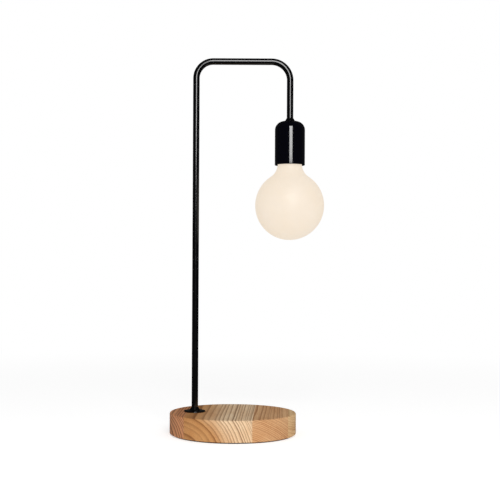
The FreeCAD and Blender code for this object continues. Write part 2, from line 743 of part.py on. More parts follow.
def bulb_insulator():
    top = contact_z - CONTACT_T
    rim = contact_z - CAP_TOP_DROP
    lead = 0.5 + SEAT
    return turned([(lead, top), (CONTACT_D / 2 + 0.7, top, 0.4), (eyelet_r, rim + 0.3),
                   (eyelet_r, rim - 1.5, 0.5), (lead, rim - 1.5)], socket_x)


def bulb_contact():
    """The domed centre contact."""
    low = contact_z - CONTACT_T
    radius = CONTACT_D / 2
    rise = CONTACT_T * 0.6
    dome_r = (radius ** 2 + rise ** 2) / (2 * rise)
    disc = cylinder(radius, low, contact_z, socket_x)
    return disc.common(Part.makeSphere(dome_r, Vec(socket_x, 0, contact_z - dome_r)))


def stem_rod_low():
    """Height of the lower end of the glass rod inside the bulb."""
    return filament_top() - FILAMENT_L * 0.97 - 5


def filament_top():
    return cap_end_z - 31.0


def bulb_mount():
    """The glass foot inside the bulb: a flare sealed to the sleeve, a pinch, and a thin rod below it."""
    top = cap_end_z + SLEEVE_L
    flare = sleeve_r - GLASS_T - TOUCH
    pinch = filament_top() + 4
    outline = [(flare, top), (flare, top - 1.2), (4.2, top - 9, 3.0), (4.2, pinch, 1.0),
               (1.6, pinch - 3), (1.6, stem_rod_low(), 0.8), (0, stem_rod_low()),
               (0, pinch + 4), (3.2, pinch + 4), (3.2, top - 8.4, 3.0), (flare - 1.2, top)]
    return turned(outline, socket_x)


def filament_ends(i):
    """Upper and lower end of one light strip, leaning outwards as it goes down."""
    turn = math.radians(45 + 360 * i / FILAMENTS)
    outward = Vec(math.cos(turn), math.sin(turn), 0)
    top = Vec(socket_x, 0, filament_top()) + outward * 6.0
    drop = FILAMENT_L * 0.97
    spread = math.sqrt(FILAMENT_L ** 2 - drop ** 2)
    return top, top + outward * spread - UP * drop, outward


def bulb_filaments():
    strips = []
    for i in range(FILAMENTS):
        top, low, _ = filament_ends(i)
        strips.append(rod(FILAMENT_D / 2, top, low))
    return Part.makeCompound(strips)


def bulb_leads():
    """The lead to the centre contact, two leads to the pinch, and the strips' support wires."""
    wire_r = 0.35
    pinch = filament_top() + 4
    leads = [cylinder(0.5, driver_z, contact_z - CONTACT_T, socket_x)]
    leads += [cylinder(0.4, pinch + 4, driver_z - 1.2, socket_x + side * 2.0) for side in (-1, 1)]
    for i in range(FILAMENTS):
        top, low, outward = filament_ends(i)
        foot = Vec(socket_x, 0, 0) + outward * 1.7
        foot.z = low.z - 2
        leads.append(rod(wire_r, Vec(socket_x, 0, pinch + 1) + outward * 4.6, top + UP * 0.3))
        leads.append(rod(wire_r, foot, low - UP * 0.45))
    return Part.makeCompound(leads)


def bulb_driver():
    """The small circuit board across the cap, with its parts on the bulb's side."""
    low = driver_z - 1.2
    edge = CAP_D / 2 - CAP_SHEET - SEAT * 5
    board = cylinder(edge, low, driver_z, socket_x)
    holes = [cylinder(0.4 + SEAT, low - 1, driver_z + 1, socket_x + side * 2.0) for side in (-1, 1)]
    parts = [cylinder(3.2, low - 5.0, low, socket_x + 7.2, 0),
             cylinder(2.4, low - 4.0, low, socket_x - 6.0, 4.5),
             box(socket_x - 8, socket_x - 4, -6, -2, low - 1.8, low),
             box(socket_x - 1.5, socket_x + 1.5, 4, 8, low - 2.4, low)]
    return joined([board.cut(holes), *parts])


# ---- the whole lamp ----

def lamp():
    """Every piece of the lamp, by node name."""
    return {
        **base_planks(),
        "base_pad": base_pad(),
        "ballast_plate": ballast_plate(),
        "ballast_screws": ballast_screws(),
        "cord_inlet_bush": cord_inlet_bush(),
        "terminal_block_body": terminal_block_body(),
        "terminal_block_inserts": terminal_block_inserts(),
        "terminal_block_screws": terminal_block_screws(),
        "block_fixing_screw": block_fixing_screw(),
        "stem_tube": stem_tube(),
        "foot_flange": foot_flange(),
        "foot_nipple": foot_nipple(),
        "foot_washer": foot_washer(),
        "foot_lock_washer": foot_lock_washer(),
        "foot_nut": foot_nut(),
        "wire_live": wire(1),
        "wire_neutral": wire(-1),
        "head_nipple": head_nipple(),
        "collar_nut": collar_nut(),
        "lamp_cup": lamp_cup(),
        "head_lock_washer": head_lock_washer(),
        "head_nut": head_nut(),
        "holder_bracket": holder_bracket(),
        "bracket_screws": bracket_screws(),
        "holder_body": holder_body(),
        "screw_shell": screw_shell(),
        "centre_terminal": centre_terminal(),
        "shell_terminal": shell_terminal(),
        "holder_terminal_screws": holder_terminal_screws(),
        "contact_tongue": contact_tongue(),
        "bulb_glass": bulb_glass(),
        "bulb_cap": bulb_cap(),
        "bulb_insulator": bulb_insulator(),
        "bulb_contact": bulb_contact(),
        "bulb_mount": bulb_mount(),
        "bulb_filaments": bulb_filaments(),
        "bulb_leads": bulb_leads(),
        "bulb_driver": bulb_driver(),
    }


os.makedirs("parts", exist_ok=True)
for name, shape in lamp().items():
    shape.exportStep(os.path.join("parts", name + ".step"))
    print(name, len(shape.Solids), round(shape.Volume, 2))
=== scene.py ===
"""Looks of the bare bulb table lamp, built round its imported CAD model.

Lengths are in metres in the CAD's frame: Z is up, the table is z = 0 and the arm runs along +X. The tube,
flange, cone nut, cup, globe and both threaded sheets are remodelled finely. The other CAD nodes stay, and
every surface gets a procedural finish.
"""

import math

import bmesh
import bpy
from mathutils import Matrix, Vector


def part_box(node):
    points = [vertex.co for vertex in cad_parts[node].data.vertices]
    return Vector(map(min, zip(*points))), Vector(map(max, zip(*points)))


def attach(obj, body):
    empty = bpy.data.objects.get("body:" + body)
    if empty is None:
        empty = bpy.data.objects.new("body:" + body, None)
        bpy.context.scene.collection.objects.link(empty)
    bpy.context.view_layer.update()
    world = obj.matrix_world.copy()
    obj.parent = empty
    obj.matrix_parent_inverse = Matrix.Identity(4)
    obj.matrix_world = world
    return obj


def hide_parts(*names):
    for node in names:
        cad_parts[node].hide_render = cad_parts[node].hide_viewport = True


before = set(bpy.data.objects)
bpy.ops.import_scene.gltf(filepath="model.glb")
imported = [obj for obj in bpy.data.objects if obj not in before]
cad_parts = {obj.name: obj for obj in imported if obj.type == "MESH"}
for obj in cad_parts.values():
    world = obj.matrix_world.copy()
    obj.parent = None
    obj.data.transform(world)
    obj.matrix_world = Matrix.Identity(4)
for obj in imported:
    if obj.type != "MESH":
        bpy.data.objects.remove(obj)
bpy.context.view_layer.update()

MM = 0.001

# Corners closer together than this are one corner
MERGE = 1e-7

# Tube, with the length that the head's hollow nipple reaches up into it
TUBE_R = 4.5 * MM
TUBE_WALL = 1.0 * MM
STEM_BEND_R = 23.2 * MM
DROP_BEND_R = 25.7 * MM
BEND_STEPS = 28
HEAD_NIPPLE_GRIP = 14.0 * MM

# Foot flange and cone nut. SEAT is the play round the tube's end
FLANGE_BORE_R = 4.1 * MM
FLANGE_R = 14.75 * MM
FLANGE_T = 2.0 * MM
FOOT_CONE_R = 7.6 * MM
FLANGE_EDGE = 0.9 * MM
FLANGE_FILLET = 1.2 * MM
NUT_BORE_R = 4.05 * MM
NUT_FLOOR_T = 2.4 * MM
FOOT_EDGE = 0.3 * MM
CONE_LIP = 0.4 * MM
LIP_EDGE = 0.15 * MM
SEAT = 0.05 * MM

# Cup
CUP_HOLE_R = 4.15 * MM
CUP_WALL = 1.0 * MM
CUP_RIM_EDGE = 0.45 * MM
CUP_SHOULDER_R = 12.0 * MM

# Bulb's glass
NECK_R = 16.6 * MM
NECK_BLEND_R = 22.0 * MM
GLASS_T = 0.9 * MM
SLEEVE_R = 11.5 * MM
SLEEVE_L = 10.0 * MM
SHOULDER_GAP = 0.2 * MM
SHOULDER_ROUND = 2.0 * MM
SLEEVE_ROUND = 0.8 * MM

# Bulb's cap, from its flared skirt to the rolled end
CAP_R = 13.1 * MM
CAP_SHEET = 0.35 * MM
CAP_SKIRT_H = 2.6 * MM
CAP_SKIRT_EDGE = 0.4 * MM
CAP_STEP_H = 0.5 * MM
CAP_THREAD_START = 0.7 * MM
CAP_ROLL = 2.4 * MM
CAP_ROLL_ROOM = CAP_ROLL * 1.2
CAP_END_R = 10.45 * MM

# Lampholder's shell
SHELL_R = 13.4 * MM
SHELL_SHEET = 0.4 * MM
SHELL_PLAIN_H = 2.0 * MM
SHELL_LIP = 0.8 * MM

# The thread that the cap and the shell share
THREAD_PITCH = 3.6286 * MM
THREAD_DEPTH = 0.75 * MM
THREAD_STEP = 0.28 * MM
THREAD_FADE = THREAD_PITCH * 0.6
SHELL_THREAD_RUNOUT = THREAD_PITCH * 0.3

# The planks' glue joints turn clockwise, seen from above
PLANK_TURN = math.radians(2.9)

# The floor lies a hair below the table's height, clear of the pad's face. It fades between two distances
FLOOR_Z = -0.1 * MM
FLOOR_HALF = 30.0
FLOOR_NEAR = 0.1
FLOOR_FAR = 1.6
FLOOR_PAPER = 0.6
FLOOR_GLOW = 0.56

# The photograph's camera, for a picture 500 pixels wide
CAMERA_PLACE = (0.0, -1.442, 0.2237)
CAMERA_ROLL = 0.005
FOCAL_PIXELS = 1044.0
PICTURE_WIDE = 500.0
CENTRE_COLUMN = 233.5
HORIZON_ROW = 272.0


# ---- places read from the CAD ----

def middle_x(node):
    low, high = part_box(node)
    return (low.x + high.x) / 2


stem_x = middle_x("foot_flange")
socket_x = middle_x("lamp_cup")
tube_low, tube_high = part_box("stem_tube")
arm_z = tube_high.z - TUBE_R


# ---- mesh helpers ----

def to_object(bm, name, material, angle=30.0, wall=0.0):
    """Turns a finished bmesh into a smooth-shaded object whose edges above the angle are sharp.

    A sheet gets a closed wall, inwards from it, or outwards where the thickness is negative.
    """
    bmesh.ops.remove_doubles(bm, verts=bm.verts, dist=MERGE)
    bmesh.ops.recalc_face_normals(bm, faces=bm.faces)
    if wall:
        bmesh.ops.solidify(bm, geom=bm.faces[:], thickness=wall)
    mesh = bpy.data.meshes.new(name)
    bm.to_mesh(mesh)
    bm.free()
    mesh.shade_smooth()
    mesh.set_sharp_from_angle(angle=math.radians(angle))
    mesh.materials.append(material)
    piece = bpy.data.objects.new(name, mesh)
    bpy.context.scene.collection.objects.link(piece)
    return piece


def even_normals(piece):
    """Flat faces beside small roundings keep flat shading."""
    piece.modifiers.new("even_normals", "WEIGHTED_NORMAL").keep_sharp = True


def settle(piece, body, slot, *nodes):
    """The piece rides on a body and stands for CAD nodes. slot is not used."""
    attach(piece, body)
    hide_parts(*nodes)


def outline_points(bm, corners, closed):
    """Joins (radius, height) corners by edges, and rounds those that give a third number."""
    verts = [bm.verts.new((corner[0], 0, corner[1])) for corner in corners]
    for start, end in zip(verts, verts[1:]):
        bm.edges.new((start, end))
    if closed:
        bm.edges.new((verts[-1], verts[0]))
    for vert, corner in zip(verts, corners):
        if len(corner) > 2:
            bmesh.ops.bevel(bm, geom=[vert], offset=corner[2], offset_type="OFFSET",
                            affect="VERTICES", segments=8, profile=0.5, material=-1)


def spin_round(bm, x, steps):
    """Turns what is in the bmesh once round the upright axis, and moves it to x."""
    geom = list(bm.verts) + list(bm.edges)
    bmesh.ops.spin(bm, geom=geom, cent=(0, 0, 0), axis=(0, 0, 1), angle=math.tau, steps=steps,
                   use_merge=True)
    bmesh.ops.remove_doubles(bm, verts=bm.verts, dist=MERGE)
    bmesh.ops.translate(bm, verts=bm.verts, vec=(x, 0, 0))


def turned(name, corners, x, material, steps=96):
    """A turned piece from a closed outline of corners."""
    bm = bmesh.new()
    outline_points(bm, corners, True)
    spin_round(bm, x, steps)
    return to_object(bm, name, material)


def press_thread(bm, x, low, high):
    """Pushes the wall between two heights inwards into a right-handed round thread, faded at both ends."""
    for vert in bm.verts:
        z = vert.co.z
        if not low < z < high:
            continue
        turn = math.atan2(vert.co.y, vert.co.x - x) / math.tau
        wave = 0.5 - 0.5 * math.cos(math.tau * (z / THREAD_PITCH - turn))
        depth = THREAD_DEPTH * wave * min(1.0, (z - low) / THREAD_FADE, (high - z) / THREAD_FADE)
        out = Vector((vert.co.x - x, vert.co.y, 0)).normalized()
        vert.co -= out * depth


# ---- shader helpers ----

class Value:
    """A node's output. Python's operators on it add Math nodes."""

    def __init__(self, tree, socket):
        self.tree = tree
        self.socket = socket

    def __add__(self, other):
        return self.tree.maths("ADD", self, other)

    __radd__ = __add__

    def __sub__(self, other):
        return self.tree.maths("SUBTRACT", self, other)

    def __rsub__(self, other):
        return self.tree.maths("SUBTRACT", other, self)

    def __mul__(self, other):
        return self.tree.maths("MULTIPLY", self, other)

    __rmul__ = __mul__

    def __truediv__(self, other):
        return self.tree.maths("DIVIDE", self, other)

    def __pow__(self, other):
        return self.tree.maths("POWER", self, other)


class Tree:
    """A node tree with one way to add any node."""

    def __init__(self, node_tree):
        self.nodes = node_tree.nodes
        self.links = node_tree.links

    def fill(self, made, sockets):
        """Sets or links a node's inputs, given by name or number."""
        for key, value in sockets.items():
            if isinstance(value, Value):
                self.links.new(value.socket, made.inputs[key])
            else:
                made.inputs[key].default_value = value

    def node(self, kind, settings, sockets, output=0):
        """Adds a node: its settings first, then its sockets' values or links. stops fill a grey ramp."""
        made = self.nodes.new("ShaderNode" + kind)
        for key, value in settings.items():
            if key == "stops":
                while len(made.color_ramp.elements) < len(value):
                    made.color_ramp.elements.new(0.5)
                for stop, (position, shade) in zip(made.color_ramp.elements, value):
                    stop.position = position
                    stop.color = grey(shade)
            else:
                setattr(made, key, value)
        self.fill(made, sockets)
        return Value(self, made.outputs[output])

    def maths(self, operation, *values):
        """A Math node on values or numbers."""
        return self.node("Math", {"operation": operation}, dict(enumerate(values)))

    def mix(self, share, low, high):
        """A colour between two colours."""
        return self.node("Mix", {"data_type": "RGBA"}, {0: share, 6: low, 7: high}, 2)

    def tint(self, share, colour, by):
        """A colour multiplied by another."""
        return self.node("Mix", {"data_type": "RGBA", "blend_type": "MULTIPLY"},
                         {0: share, 6: colour, 7: by}, 2)

    def place(self, scale, turn=0.0):
        """Object coordinates, turned about Z and then stretched."""
        spot = self.node("TexCoord", {}, {}, "Object")
        if turn:
            spot = self.node("Mapping", {}, {"Vector": spot, "Rotation": (0, 0, turn)})
        return self.node("VectorMath", {"operation": "MULTIPLY"}, {0: spot, 1: scale})

    def noise(self, spot, detail=2.0, roughness=0.5):
        """Cloudy noise over a place, near 0.5 on average."""
        return self.node("TexNoise", {}, {"Vector": spot, "Scale": 1.0, "Detail": detail,
                                          "Roughness": roughness}, "Fac")

    def between(self, value, low, high, to_low, to_high):
        """Moves a value from one range to another, clamped."""
        return self.node("MapRange", {}, {"Value": value, "From Min": low, "From Max": high,
                                          "To Min": to_low, "To Max": to_high})


def grey(share):
    """A linear grey."""
    return (share, share, share, 1.0)


def srgb(red, green, blue):
    """A linear colour from the 0-255 numbers of a screen colour."""
    parts = []
    for part in (red, green, blue):
        share = part / 255
        parts.append(share / 12.92 if share <= 0.04045 else ((share + 0.055) / 1.055) ** 2.4)
    return (*parts, 1.0)


class Finish(Tree):
    """One material: its uniform values are set at once, and feed() links what varies."""

    def __init__(self, name, uniform):
        self.material = bpy.data.materials.new(name)
        self.material.use_nodes = True
        super().__init__(self.material.node_tree)
        self.shader = self.nodes["Principled BSDF"]
        self.feed(uniform)

    def feed(self, sockets):
        """Sets or links the shader's inputs."""
        self.fill(self.shader, sockets)

    def bump(self, height, strength, distance):
        """Small relief, with its depth in metres."""
        self.feed({"Normal": self.node("Bump", {}, {"Height": height, "Strength": strength,
                                                    "Distance": distance})})


# ---- finishes ----

def pine(name, heart, early, late, pith, ring, near, wander, fade):
    """Pine with its year rings round a pith line that runs along the plank.

    The early wood goes from the heart's colour near the pith to its own further out. pith is (across,
    height) in millimetres. Years grow narrower outwards, and are ring wide at the distance near. wander is
    how far they stray, and fade how much of the late wood's colour is lost in the palest years.
    """
    wood = Finish(name, {"Specular IOR Level": 0.25})
    grain = wood.place((1000, 1000, 1000), PLANK_TURN)
    stray = wood.noise(wood.place((14, 3.2, 14), PLANK_TURN), 2.0) - 0.5
    waver = wood.noise(wood.place((110, 10, 110), PLANK_TURN), 2.0) - 0.5
    across = wood.node("SeparateXYZ", {}, {"Vector": grain}, "X")
    height = wood.node("SeparateXYZ", {}, {"Vector": grain}, "Z")
    reach = ((across - pith[0]) ** 2 + (height - pith[1]) ** 2) ** 0.5 + stray * wander + waver * 1.3
    years = reach ** 2 / (2 * ring * near)
    years = years + (wood.node("TexNoise", {"noise_dimensions": "1D"},
                               {"W": years * 0.45, "Scale": 1.0, "Detail": 1.0}, "Fac") - 0.5) * 1.6
    season = wood.maths("FRACT", years)
    year = wood.maths("FLOOR", years)
    vigour = wood.node("TexWhiteNoise", {"noise_dimensions": "1D"}, {"W": year}, "Value")
    late_share = wood.node("ValToRGB", {"stops": [(0.0, 0.0), (0.38, 0.1), (0.68, 0.5), (0.86, 1.0),
                                                  (0.95, 0.85), (1.0, 0.0)]}, {"Fac": season})
    outwards = wood.between(reach, 58.0, 84.0, 0.0, 1.0)
    late_share = late_share * (1.0 - fade * vigour) * (0.7 + 0.3 * outwards)
    colour = wood.mix(late_share, wood.mix(outwards, heart, early), late)
    cloud = wood.noise(wood.place((38, 9, 38), PLANK_TURN), 3.0)
    colour = wood.tint(wood.between(cloud, 0.35, 0.7, 0.0, 0.5), colour, srgb(232, 205, 176))
    fibre = wood.noise(wood.place((1100, 26, 1100), PLANK_TURN), 3.0, 0.65)
    colour = wood.tint(wood.between(fibre, 0.42, 0.72, 0.0, 0.42), colour, srgb(196, 150, 106))
    canal = wood.node("TexVoronoi", {}, {"Vector": wood.place((420, 60, 420), PLANK_TURN),
                                         "Scale": 1.0}, "Distance")
    colour = wood.tint(wood.between(canal, 0.05, 0.16, 0.55, 0.0), colour, srgb(150, 98, 58))
    wood.feed({"Base Color": colour, "Roughness": 0.62 - late_share * 0.12 + (fibre - 0.5) * 0.15})
    wood.bump(fibre * 0.6 + late_share * 0.8, 0.35, 0.12 * MM)
    return wood.material


def painted_steel():
    """Black lacquer, a little uneven, with a faint orange peel."""
    paint = Finish("black_paint", {"Base Color": srgb(3, 3, 4), "Specular IOR Level": 0.6})
    smudge = paint.noise(paint.place((60, 60, 60)), 4.0)
    paint.feed({"Roughness": paint.between(smudge, 0.3, 0.7, 0.14, 0.19)})
    paint.bump(paint.noise(paint.place((260, 260, 260)), 1.0), 0.04, 0.02 * MM)
    return paint.material


def gloss_black():
    """Deep gloss enamel, faintly blue."""
    paint = Finish("black_gloss", {"Base Color": srgb(1, 1, 6), "Specular IOR Level": 0.5,
                                   "Coat Roughness": 0.03, "Coat Weight": 0.3})
    smudge = paint.noise(paint.place((45, 45, 45)), 3.0)
    paint.feed({"Roughness": paint.between(smudge, 0.3, 0.7, 0.07, 0.13)})
    paint.bump(paint.noise(paint.place((200, 200, 200)), 1.0), 0.02, 0.02 * MM)
    return paint.material


def opal():
    """Milk glass lit softly from inside."""
    glass = Finish("opal_glass", {"Specular IOR Level": 0.35, "Subsurface Weight": 0.3,
                                  "Subsurface Radius": (0.01, 0.008, 0.006),
                                  "Subsurface Scale": 0.4, "Emission Strength": 0.74})
    milk = glass.noise(glass.place((26, 26, 26)), 3.0)
    fine = glass.noise(glass.place((700, 700, 700)), 2.0)
    glass.feed({
        "Base Color": glass.mix(milk, srgb(104, 99, 92), srgb(110, 105, 98)),
        "Roughness": glass.between(fine, 0.3, 0.7, 0.42, 0.52),
        "Emission Color": glass.mix(milk, srgb(255, 238, 214), srgb(255, 243, 228)),
    })
    glass.bump(fine, 0.05, 0.03 * MM)
    return glass.material


def metal(name, colour, stain, rough, marks):
    """Metal with tarnish and fine marks: marks is the scale of the marks along X, Y and Z."""
    sheet = Finish(name, {"Metallic": 1.0})
    cloud = sheet.noise(sheet.place((120, 120, 120)), 4.0, 0.6)
    scratch = sheet.noise(sheet.place(marks), 3.0, 0.6)
    sheet.feed({
        "Base Color": sheet.mix(sheet.between(cloud, 0.42, 0.72, 0.0, 0.8), colour, stain),
        "Roughness": sheet.between(scratch + cloud * 0.5, 0.45, 1.05, rough * 0.75, rough * 1.5),
    })
    sheet.bump(scratch, 0.12, 0.04 * MM)
    return sheet.material


def cast_iron():
    """Sand-cast iron, gritty and rusted in places."""
    iron = Finish("iron", {"Metallic": 0.9})
    grit = iron.noise(iron.place((700, 700, 700)), 4.0, 0.7)
    rust = iron.noise(iron.place((35, 35, 35)), 5.0, 0.65)
    share = iron.between(rust, 0.55, 0.75, 0.0, 0.7)
    iron.feed({
        "Base Color": iron.mix(share, srgb(70, 70, 72), srgb(110, 66, 40)),
        "Roughness": iron.between(grit, 0.3, 0.7, 0.5, 0.75),
    })
    iron.bump(grit, 0.5, 0.2 * MM)
    return iron.material


def moulded(name, colour, worn, rough, texture):
    """Moulded plastic with a fine spark-eroded texture."""
    plastic = Finish(name, {"Specular IOR Level": 0.45})
    grit = plastic.noise(plastic.place((texture, texture, texture)), 2.0)
    cloud = plastic.noise(plastic.place((80, 80, 80)), 3.0)
    plastic.feed({
        "Base Color": plastic.mix(cloud, colour, worn),
        "Roughness": plastic.between(grit, 0.3, 0.7, rough * 0.85, rough * 1.2),
    })
    plastic.bump(grit, 0.25, 0.06 * MM)
    return plastic.material


def foam_pad():
    """Closed-cell foam rubber: small round cells and a little dust."""
    foam = Finish("pad", {"Specular IOR Level": 0.2})
    cells = foam.node("TexVoronoi", {"feature": "SMOOTH_F1"},
                      {"Vector": foam.place((900, 900, 900)), "Scale": 1.0}, "Distance")
    dust = foam.noise(foam.place((55, 55, 55)), 5.0, 0.6)
    foam.feed({
        "Base Color": foam.mix(foam.between(dust, 0.5, 0.8, 0.0, 0.6), srgb(30, 30, 31), srgb(66, 63, 60)),
        "Roughness": foam.between(dust, 0.3, 0.7, 0.85, 0.95),
    })
    foam.bump(cells, 0.6, 0.25 * MM)
    return foam.material


def glazed_ceramic():
    """White porcelain under a clear glaze, with a few dark specks."""
    glaze = Finish("ceramic", {"Coat Roughness": 0.05, "Specular IOR Level": 0.5})
    cloud = glaze.noise(glaze.place((70, 70, 70)), 3.0)
    speck = glaze.noise(glaze.place((1500, 1500, 1500)), 1.0)
    glaze.feed({
        "Base Color": glaze.tint(glaze.between(speck, 0.68, 0.8, 0.0, 0.6),
                                 glaze.mix(cloud, srgb(232, 228, 216), srgb(244, 241, 232)),
                                 srgb(170, 150, 120)),
        "Roughness": glaze.between(cloud, 0.3, 0.7, 0.16, 0.26),
        "Coat Weight": glaze.between(cloud, 0.3, 0.7, 0.5, 0.7),
    })
    glaze.bump(cloud, 0.1, 0.1 * MM)
    return glaze.material


def black_glass():
    """The cap's dark glass insulator, with flow marks."""
    glass = Finish("black_glass", {"Specular IOR Level": 0.6})
    cloud = glass.noise(glass.place((300, 300, 300)), 3.0)
    glass.feed({
        "Base Color": glass.mix(cloud, srgb(12, 11, 14), srgb(30, 26, 32)),
        "Roughness": glass.between(cloud, 0.3, 0.7, 0.05, 0.16),
    })
    glass.bump(cloud, 0.15, 0.1 * MM)
    return glass.material


def clear_glass():
    """Clear glass, a little uneven in polish."""
    glass = Finish("clear_glass", {"Transmission Weight": 1.0, "IOR": 1.5})
    seed = glass.noise(glass.place((240, 240, 240)), 2.0)
    glass.feed({
        "Base Color": glass.mix(seed, srgb(246, 250, 248), srgb(255, 255, 255)),
        "Roughness": glass.between(seed, 0.3, 0.7, 0.0, 0.04),
    })
    return glass.material


def light_strip():
    """The yellow phosphor of a light strip, on and glowing a little."""
    strip = Finish("filament", {"Emission Strength": 1.2})
    grains = strip.noise(strip.place((900, 900, 900)), 2.0)
    strip.feed({
        "Base Color": strip.mix(grains, srgb(226, 168, 60), srgb(244, 200, 96)),
        "Roughness": strip.between(grains, 0.3, 0.7, 0.5, 0.7),
        "Emission Color": strip.mix(grains, srgb(255, 196, 110), srgb(255, 222, 160)),
    })
    return strip.material


def circuit_board():
    """A pale circuit board with its glass weave showing."""
    board = Finish("board", {"Specular IOR Level": 0.5})
    weave = board.node("TexWave", {"bands_direction": "X"}, {"Vector": board.place((700, 700, 700)),
                                                            "Scale": 1.0, "Distortion": 0.6}, "Fac")
    cloud = board.noise(board.place((260, 260, 260)), 2.0)
    board.feed({
        "Base Color": board.mix(cloud, srgb(214, 214, 200), srgb(178, 184, 160)),
        "Roughness": board.between(weave, 0.0, 1.0, 0.35, 0.5),
    })
    board.bump(weave, 0.15, 0.03 * MM)
    return board.material


FINISHES = {
    "wood_main": pine("wood_main", srgb(196, 146, 92), srgb(232, 206, 170), srgb(112, 66, 28),
                      pith=(-68.0, -25.0), ring=3.7, near=92.0, wander=7.0, fade=0.55),
    "wood_red": pine("wood_red", srgb(206, 148, 106), srgb(206, 148, 106), srgb(44, 14, 6),
                     pith=(-112.0, -8.0), ring=3.8, near=45.0, wander=6.0, fade=0.0),
    "wood_pink": pine("wood_pink", srgb(214, 172, 126), srgb(214, 172, 126), srgb(158, 106, 68),
                      pith=(6.0, -58.0), ring=2.3, near=85.0, wander=5.0, fade=0.45),
    "wood_pale": pine("wood_pale", srgb(220, 190, 144), srgb(220, 190, 144), srgb(182, 138, 90),
                      pith=(40.0, -60.0), ring=3.4, near=85.0, wander=5.0, fade=0.6),
    "pad": foam_pad(),
    "iron": cast_iron(),
    "zinc_steel": metal("zinc_steel", srgb(196, 199, 204), srgb(150, 152, 158), 0.32, (900, 900, 160)),
    "black_plastic": moulded("black_plastic", srgb(22, 22, 24), srgb(32, 32, 34), 0.5, 1400),
    "white_plastic": moulded("white_plastic", srgb(226, 226, 220), srgb(238, 238, 234), 0.42, 1200),
    "black_paint": painted_steel(),
    "black_gloss": gloss_black(),
    "brown_insulation": moulded("brown_insulation", srgb(92, 52, 32), srgb(106, 62, 38), 0.4, 800),
    "blue_insulation": moulded("blue_insulation", srgb(36, 84, 160), srgb(44, 96, 176), 0.4, 800),
    "ceramic": glazed_ceramic(),
    "brass": metal("brass", srgb(216, 178, 102), srgb(160, 118, 60), 0.28, (500, 500, 500)),
    "opal_glass": opal(),
    "cap_metal": metal("cap_metal", srgb(208, 208, 206), srgb(168, 168, 168), 0.24, (80, 80, 1800)),
    "black_glass": black_glass(),
    "tin": metal("tin", srgb(186, 188, 192), srgb(150, 150, 154), 0.36, (400, 400, 400)),
    "clear_glass": clear_glass(),
    "filament": light_strip(),
    "board": circuit_board(),
}


def finish_cad_nodes():
    """Each CAD node takes the finish that its record's material slot names."""
    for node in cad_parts.values():
        for slot in node.material_slots:
            slot.material = FINISHES[slot.material.name.split(".")[0]]


# ---- pieces ----

def bent_tube():
    """The tube: a ring drawn up the stem, round both bends and down to the cone nut."""
    bm = bmesh.new()
    foot = Matrix.Translation((stem_x, 0, tube_low.z))
    ring = bmesh.ops.create_circle(bm, cap_ends=False, segments=48, radius=TUBE_R, matrix=foot)
    loop = list({edge for vert in ring["verts"] for edge in vert.link_edges})

    def run(edges, way):
        drawn = bmesh.ops.extrude_edge_only(bm, edges=edges)["geom"]
        verts = [part for part in drawn if isinstance(part, bmesh.types.BMVert)]
        bmesh.ops.translate(bm, verts=verts, vec=way)
        return [part for part in drawn if isinstance(part, bmesh.types.BMEdge)
                and all(vert in verts for vert in part.verts)]

    def bend(edges, centre):
        drawn = bmesh.ops.spin(bm, geom=edges, cent=centre, axis=(0, 1, 0), angle=math.pi / 2,
                               steps=BEND_STEPS)["geom_last"]
        return [part for part in drawn if isinstance(part, bmesh.types.BMEdge)]

    loop = run(loop, (0, 0, arm_z - STEM_BEND_R - tube_low.z))
    loop = bend(loop, (stem_x + STEM_BEND_R, 0, arm_z - STEM_BEND_R))
    loop = run(loop, (socket_x - stem_x - STEM_BEND_R - DROP_BEND_R, 0, 0))
    loop = bend(loop, (socket_x - DROP_BEND_R, 0, arm_z - DROP_BEND_R))
    end_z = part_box("head_nipple")[1].z - HEAD_NIPPLE_GRIP
    run(loop, (0, 0, end_z - arm_z + DROP_BEND_R))
    piece = to_object(bm, "bent_tube", FINISHES["black_paint"], wall=TUBE_WALL)
    settle(piece, "lamp", "black_paint", "stem_tube")


def cone_flange():
    """The foot's disc and its cone, with a step inside that the tube stands on."""
    low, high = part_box("foot_flange")
    seat = TUBE_R + SEAT
    top = low.z + FLANGE_T
    corners = [(FLANGE_BORE_R, low.z), (FLANGE_R, low.z, FOOT_EDGE), (FLANGE_R, top, FLANGE_EDGE),
               (FOOT_CONE_R, top, FLANGE_FILLET), (TUBE_R + CONE_LIP, high.z, LIP_EDGE), (seat, high.z),
               (seat, tube_low.z), (FLANGE_BORE_R, tube_low.z)]
    piece = turned("cone_flange", corners, stem_x, FINISHES["black_paint"])
    even_normals(piece)
    settle(piece, "lamp", "black_paint", "foot_flange")


def cone_nut():
    """The cone nut between the tube's end and the cup."""
    low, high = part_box("collar_nut")
    seat = TUBE_R + SEAT
    step = low.z + NUT_FLOOR_T
    corners = [(NUT_BORE_R, low.z), (high.x - socket_x, low.z, FOOT_EDGE),
               (TUBE_R + CONE_LIP, high.z, LIP_EDGE), (seat, high.z), (seat, step), (NUT_BORE_R, step)]
    piece = turned("cone_nut", corners, socket_x, FINISHES["black_paint"])
    even_normals(piece)
    settle(piece, "lamp", "black_paint", "collar_nut")


def spun_cup():
    """The cup, spun from sheet: a round shoulder outside and inside, and a rounded rim."""
    low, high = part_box("lamp_cup")
    outer = high.x - socket_x
    inner = outer - CUP_WALL
    inner_top = high.z - CUP_WALL
    corners = [(CUP_HOLE_R, high.z), (outer, high.z, CUP_SHOULDER_R), (outer, low.z, CUP_RIM_EDGE),
               (inner, low.z, CUP_RIM_EDGE), (inner, inner_top, CUP_SHOULDER_R - CUP_WALL),
               (CUP_HOLE_R, inner_top)]
    piece = turned("spun_cup", corners, socket_x, FINISHES["black_gloss"], steps=128)
    even_normals(piece)
    settle(piece, "lamp", "black_gloss", "lamp_cup")


